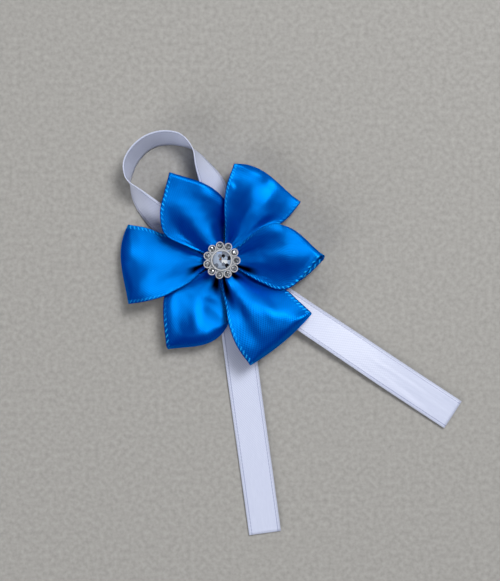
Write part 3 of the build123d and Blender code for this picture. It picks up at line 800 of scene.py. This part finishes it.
BLUE_LENGTH, WHITE_LENGTH = 57.0, 277.0
blue, shader = satin("dyed_satin", (WIDE_WIDTH, BLUE_LENGTH), {
    "body": (0.0, 0.002, 0.20),
    "streak": (0.0, 0.008, 0.32),
    # light cyan: a painted highlight on the selvedge stitches
    "glinting_stitch": (0.02, 0.46, 0.95),
    "border": (0.0, 0.0, 0.22),
    # near black: painted shade in the gathers
    "gather_shade": (0.0, 0.0, 0.004),
}, rough=0.46, stitching=1.0, border_in=1.5)
shader.inputs["IOR"].default_value = 6.0
shader.inputs["Specular Tint"].default_value = (0.0, 0.32, 1.0, 1)
white, shader = satin("undyed_satin", (NARROW_WIDTH, WHITE_LENGTH), {
    "body": (0.50, 0.54, 0.70),
    "streak": (0.60, 0.64, 0.80),
    # lighter: a painted highlight on the selvedge stitches
    "glinting_stitch": (0.66, 0.69, 0.82),
    "border": (0.30, 0.33, 0.50),
}, rough=0.42, stitching=0.25, border_in=0.9)
shader.inputs["IOR"].default_value = 1.6
for name, piece in ribbons.items():
    piece.data.materials.append(white if name == "narrow_ribbon" else blue)
print("satins", blue.name, white.name, "on", len(ribbons), "ribbons")

# %% [markdown]
# The button is moulded in clear plastic with foil-backed stones. A cut stone shows the light in
# patches, one for each facet, most of them grey and a few black, warm or white. The solids have
# the outer facets. Glass over foil could be traced as it is, but that takes long for a stone of
# a few pixels. So the group below adds the many small facets that are seen through the outer
# ones: it works out which stone a point belongs to, then its ring and its sector in that stone.

# %% Facets seen inside the stones
LOBES = 11               # lobes of the button, each with a small stone
LOBE_FIRST = -1.0        # degrees
LOBE_RING = 4.5          # radius of the circle that they stand on
CENTRE_R = 2.85
SMALL_R = 0.93
FACET_RINGS = 2.9        # rings of facets from the middle of a stone to its edge
FACET_KITE = 0.13        # how far the point of a facet reaches into the next ring
FACET_TILT = 0.9         # how much the facets lean apart


def facet_group():
    """Takes a stone's place and cut, and gives each facet its shade and its own normal."""
    group, take, give = new_group(
        "stone_facets",
        {"Ring": 0.0, "Size": 1.0, "Sides": 8.0, "Seed": 0.0},
        {"Shade": "NodeSocketFloat", "Out": "NodeSocketFloat", "Normal": "NodeSocketVector"})
    plus, minus, times = sums(group)
    c = lambda what, a, b=0.0: calc(group, what, a, b)
    place = group.nodes.new("ShaderNodeTexCoord")
    split = group.nodes.new("ShaderNodeSeparateXYZ")
    group.links.new(place.outputs["Object"], split.inputs[0])
    x, y = c("DIVIDE", split.outputs["X"], MM), c("DIVIDE", split.outputs["Y"], MM)

    # The nearest lobe, and the point's place from the middle of the stone
    step, first = TURN / LOBES, math.radians(LOBE_FIRST)
    which = c("ROUND", c("DIVIDE", minus(c("ARCTAN2", y, x), first), step))
    turn = plus(times(which, step), first)
    dx = minus(x, times(c("COSINE", turn), take.outputs["Ring"]))
    dy = minus(y, times(c("SINE", turn), take.outputs["Ring"]))
    away = c("SQRT", plus(times(dx, dx), times(dy, dy)))
    out = c("DIVIDE", away, take.outputs["Size"])

    # Its ring and sector, which with the stone's own number pick one facet
    around = times(c("DIVIDE", c("ARCTAN2", dy, dx), TURN), take.outputs["Sides"])
    kite = c("ABSOLUTE", minus(times(c("FRACT", around), 2.0), 1.0))
    ring = c("FLOOR", times(plus(out, times(kite, FACET_KITE)), FACET_RINGS))
    sector = c("FLOOR", times(around, times(plus(ring, 1.0), 0.5)))
    own = times(which, c("MINIMUM", take.outputs["Ring"], 1.0))
    pick = group.nodes.new("ShaderNodeCombineXYZ")
    group.links.new(sector, pick.inputs[0])
    group.links.new(ring, pick.inputs[1])
    group.links.new(plus(own, take.outputs["Seed"]), pick.inputs[2])
    chance = group.nodes.new("ShaderNodeTexWhiteNoise")
    chance.noise_dimensions = "3D"
    group.links.new(pick.outputs[0], chance.inputs["Vector"])

    # The facet's normal: the surface's own, leaning by chance to one side
    tilt = group.nodes.new("ShaderNodeVectorMath")
    tilt.operation = "MULTIPLY_ADD"
    group.links.new(chance.outputs["Color"], tilt.inputs[0])
    tilt.inputs[1].default_value = (FACET_TILT, FACET_TILT, 0.0)
    tilt.inputs[2].default_value = (-FACET_TILT / 2, -FACET_TILT / 2, 0.0)
    face = group.nodes.new("ShaderNodeNewGeometry")
    lean = group.nodes.new("ShaderNodeVectorMath")
    group.links.new(face.outputs["Normal"], lean.inputs[0])
    group.links.new(tilt.outputs[0], lean.inputs[1])
    unit = group.nodes.new("ShaderNodeVectorMath")
    unit.operation = "NORMALIZE"
    group.links.new(lean.outputs[0], unit.inputs[0])
    for label, value in (("Shade", chance.outputs["Value"]), ("Out", out),
                         ("Normal", unit.outputs[0])):
        group.links.new(value, give.inputs[label])
    return group


facets = facet_group()
print("stone_facets nodes", len(facets.nodes))

# %% [markdown]
# A ramp without soft steps turns each facet's own chance value into one of a few colours, so a
# stone gets its mix of grey, black, warm and white patches, which are painted reflections.
# Colours could be typed in for every facet, but chance does it for twelve stones at once.

# %% Finishes of the stones, with painted reflections
def cut_stone(name, ring, size, sides, seed, patches):
    """A stone's finish: patches are (share of the facets up to here, colour) of painted
    reflections.
    """
    material, tree, shader = new_finish(name, 0.06, metallic=0.25)
    inside = tree.nodes.new("ShaderNodeGroup")
    inside.node_tree = facets
    for label, value in (("Ring", ring), ("Size", size), ("Sides", sides), ("Seed", seed)):
        inside.inputs[label].default_value = value
    ramp = tree.nodes.new("ShaderNodeValToRGB")
    ramp.color_ramp.interpolation = "CONSTANT"
    start = 0.0
    for k, (upto, colour) in enumerate(patches):
        stop = ramp.color_ramp.elements[0] if k == 0 else ramp.color_ramp.elements.new(start)
        stop.color = (*colour, 1)
        start = upto
    ramp.color_ramp.elements.remove(ramp.color_ramp.elements[-1])
    tree.links.new(inside.outputs["Shade"], ramp.inputs["Fac"])
    tree.links.new(ramp.outputs["Color"], shader.inputs["Base Color"])
    tree.links.new(inside.outputs["Normal"], shader.inputs["Normal"])
    shader.inputs["IOR"].default_value = 2.0
    return material


large = cut_stone("large_stone", 0.0, CENTRE_R, 8.0, 3.0, (
    (0.10, (0.01, 0.01, 0.015)),
    (0.17, (0.22, 0.11, 0.05)),
    (0.45, (0.22, 0.25, 0.32)),
    (0.80, (0.42, 0.50, 0.64)),
    (1.0, (0.85, 0.88, 0.92)),
))
small = cut_stone("small_stones", LOBE_RING, SMALL_R, 6.0, 1.0, (
    (0.30, (0.05, 0.055, 0.06)),
    (0.65, (0.17, 0.18, 0.20)),
    (0.9, (0.33, 0.35, 0.38)),
    (1.0, (0.75, 0.77, 0.80)),
))
print("stone finishes", large.name, small.name)

# %% [markdown]
# Moulded plastic is clear with faint flow marks. Its rounded rims gather light and look white,
# which a plain see-through material wouldn't show at this size, so the rims get a lighter colour.

# %% Clear setting
def rim_round(tree, ring, middle, half):
    """1 along the rounded rim that holds a stone, fading over half its width."""
    inside = tree.nodes.new("ShaderNodeGroup")
    inside.node_tree = facets
    inside.inputs["Ring"].default_value = ring
    away = calc(tree, "ABSOLUTE", calc(tree, "SUBTRACT", inside.outputs["Out"], middle))
    return soft_step(tree, away, half, half * 0.4)


clear, tree, shader = new_finish("moulded_clear", 0.1)
shader.inputs["IOR"].default_value = 1.49
shader.inputs["Transmission Weight"].default_value = 0.5
flow = grain(tree, 1500.0)
rims = calc(tree, "MAXIMUM",
            rim_round(tree, LOBE_RING, SMALL_R + 0.12, 0.14),
            rim_round(tree, 0.0, CENTRE_R + 0.2, 0.22))
body = blend(tree, flow, (0.30, 0.32, 0.36), (0.55, 0.58, 0.63))
tree.links.new(blend(tree, rims, body, (0.97, 0.98, 1.0)), shader.inputs["Base Color"])
raise_by(tree, shader, calc(tree, "MULTIPLY", flow, 0.12))
print(clear.name, "nodes", len(tree.nodes))

# %% [markdown]
# The pin is steel wire. Drawing it through a die leaves fine lines. They could be cut into the
# mesh, but at this size uneven gloss and a bump of a hundredth of a millimetre show the same.

# %% Pin
steel, tree, shader = new_finish("steel_wire", 0.3, metallic=1.0, colour=(0.62, 0.61, 0.59))
drawn = grain(tree, 2500.0, 3.0)
uneven = calc(tree, "ADD", calc(tree, "MULTIPLY", drawn, 0.25), 0.18)
tree.links.new(uneven, shader.inputs["Roughness"])
raise_by(tree, shader, calc(tree, "MULTIPLY", drawn, 0.01))
print(steel.name, "nodes", len(tree.nodes))

# %% [markdown]
# The button and the pin are hard and were made to measure, so they keep the meshes of the
# solids and only get their new finishes.

# %% Finishes on the solids
finishes = {"back_pin": steel, "jewel_setting": clear, "centre_stone": large}
for node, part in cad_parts.items():
    if node in ribbons:
        continue
    part.data.materials.clear()
    part.data.materials.append(finishes.get(node, small))
print("finished solids", len(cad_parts) - len(ribbons))

# %% [markdown]
# The rosette lies on plain grey card, pressed from pulp with lighter and darker specks. A noise
# of about their size stands for them, weak enough for the floor to stay plain.

# %% Floor
FLOOR_DOWN = 0.2         # millimetres that the floor lies under the lowest ribbon
bpy.ops.mesh.primitive_plane_add(size=3.0, location=(0, 0, -FLOOR_DOWN * MM))
floor = bpy.context.object
floor.name = "floor"
card, tree, shader = new_finish("grey_card", 0.85)
speck = grain(tree, 700.0, 5.0)
pulp = blend(tree, speck, (0.23, 0.223, 0.21), (0.43, 0.42, 0.40))
tree.links.new(pulp, shader.inputs["Base Color"])
raise_by(tree, shader, calc(tree, "MULTIPLY", speck, 0.08))
floor.data.materials.append(card)
print("floor", FLOOR_DOWN, "mm down")

# %% [markdown]
# A photographed room could light the scene, but lamps are easier to place one by one. A lamp
# like a small window, at the upper right, makes the satin's highlights. A wide, weak one on the
# same side and one low at the lower left fill the shadows on card and white ribbon. Gloss
# doesn't mirror those two, as with bounced light, so that the satin keeps its deep valleys.

# %% Light
def towards(azimuth, elevation):
    """Direction from the flower, in degrees round from the right and up from the card."""
    a, e = math.radians(azimuth), math.radians(elevation)
    return Vector((math.cos(a) * math.cos(e), math.sin(a) * math.cos(e), math.sin(e)))


def softbox(name, azimuth, elevation, distance, size, watts, mirrored=True):
    """A round lamp that faces the flower, with its distance and size in metres."""
    lamp = bpy.data.lights.new(name, "AREA")
    lamp.shape = "DISK"
    lamp.size = size
    lamp.energy = watts
    holder = bpy.data.objects.new(name, lamp)
    bpy.context.scene.collection.objects.link(holder)
    holder.location = towards(azimuth, elevation) * distance
    holder.rotation_euler = (-holder.location).to_track_quat("-Z", "Y").to_euler()
    holder.visible_glossy = mirrored


#       name, azimuth, elevation, distance, size, watts
softbox("window", 50, 60, 0.8, 0.3, 4.7)
softbox("fill", 60, 75, 1.2, 1.2, 2.8, mirrored=False)
softbox("bounce", 225, 30, 1.0, 0.8, 6.0, mirrored=False)

# %% [markdown]
# The stones and the plastic mirror the room, and an evenly lit one would leave them flat. So the
# room behind the lights is dim, and lighter towards the window.

# %% Room
ROOM_DIM, ROOM_LIGHT = 0.04, 0.3
world = bpy.data.worlds.new("studio")
bpy.context.scene.world = world
world.use_nodes = True
tree = world.node_tree
around = tree.nodes.new("ShaderNodeTexCoord")
facing = tree.nodes.new("ShaderNodeVectorMath")
facing.operation = "DOT_PRODUCT"
facing.inputs[1].default_value = towards(50, 35)
tree.links.new(around.outputs["Generated"], facing.inputs[0])
fade = soft_step(tree, facing.outputs["Value"], 0.1, 1.0)
fade.node.inputs["To Min"].default_value = ROOM_DIM
fade.node.inputs["To Max"].default_value = ROOM_LIGHT
background = tree.nodes["Background"]
background.inputs["Color"].default_value = (0.92, 0.95, 1.0, 1)
tree.links.new(fade, background.inputs["Strength"])
bpy.context.scene.view_settings.view_transform = "Standard"
print("room strength", ROOM_DIM, "to", ROOM_LIGHT)

# %% [markdown]
# The photo looks straight down from about 380 mm, and its middle is a little off the button. The
# lens follows from that distance and from the width of card that the photo shows.

# %% Camera
SENSOR = 36.0            # width in millimetres, the usual one
CAMERA_UP = 380.0        # millimetres above the card
CARD_SEEN = 156.25       # millimetres of card from the photo's left side to its right
PHOTO_MIDDLE = (8.594, -9.219)   # millimetres from the middle of the button
eye = bpy.data.cameras.new("camera")
eye.sensor_fit = "HORIZONTAL"
eye.sensor_width = SENSOR
eye.lens = SENSOR * CAMERA_UP / CARD_SEEN
eye.clip_start = 0.01
eye.clip_end = 10
camera = bpy.data.objects.new("camera", eye)
bpy.context.scene.collection.objects.link(camera)
camera.location = (PHOTO_MIDDLE[0] * MM, PHOTO_MIDDLE[1] * MM, CAMERA_UP * MM)
bpy.context.scene.camera = camera
print("camera", tuple(camera.location), "lens mm", round(eye.lens, 2))
